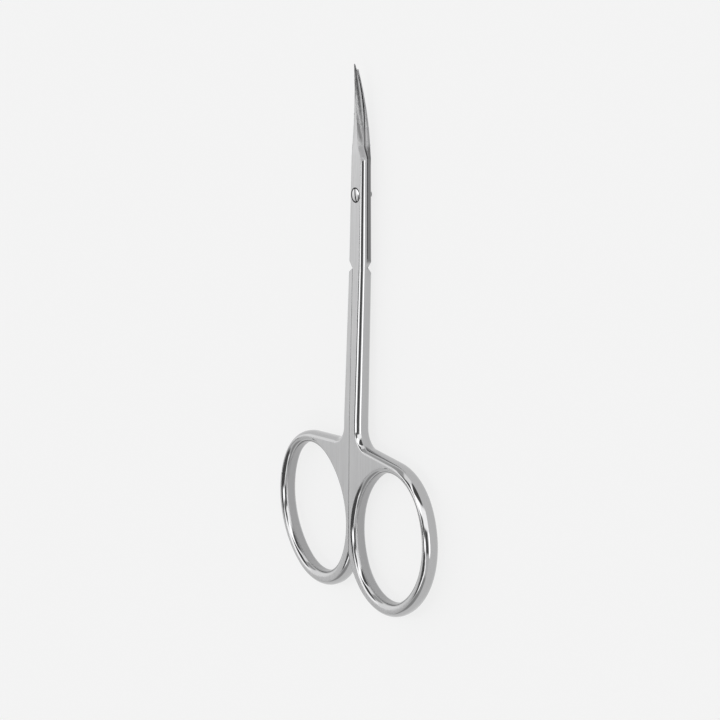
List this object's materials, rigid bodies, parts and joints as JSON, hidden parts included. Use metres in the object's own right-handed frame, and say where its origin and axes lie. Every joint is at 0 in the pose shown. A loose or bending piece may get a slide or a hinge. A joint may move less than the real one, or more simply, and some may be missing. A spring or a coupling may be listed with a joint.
{
  "type": "cuticle scissors",
  "caption": "Small cuticle scissors with slim curved blades, a lap joint on a slotted pivot screw, straight shanks and oval finger rings.",
  "frame": {"origin": "middle of the closed scissors' length and width, at the level of the screw's lowest point", "axes": "+Z from the back face to the front face, +Y towards the blades' tips, +X towards the ring of the upper half"},
  "size_m": [0.0526, 0.1062, 0.0046],
  "materials": {
    "blade_steel": "satin front and back faces, polished rounded sides and rings, ground blade faces",
    "screw_steel": "turned and polished"
  },
  "bodies": {
    "lower": {"lower_half": "blade_steel", "pivot_screw": "screw_steel"},
    "upper": {"upper_half": "blade_steel"}
  },
  "joints": [
    {"name": "pivot_turn", "type": "hinge", "parent": "lower", "child": "upper", "pos_m": [0, 0.02812, 0.00232], "axis": [0, 0, 1], "range_deg": [0, 60]}
  ]
}
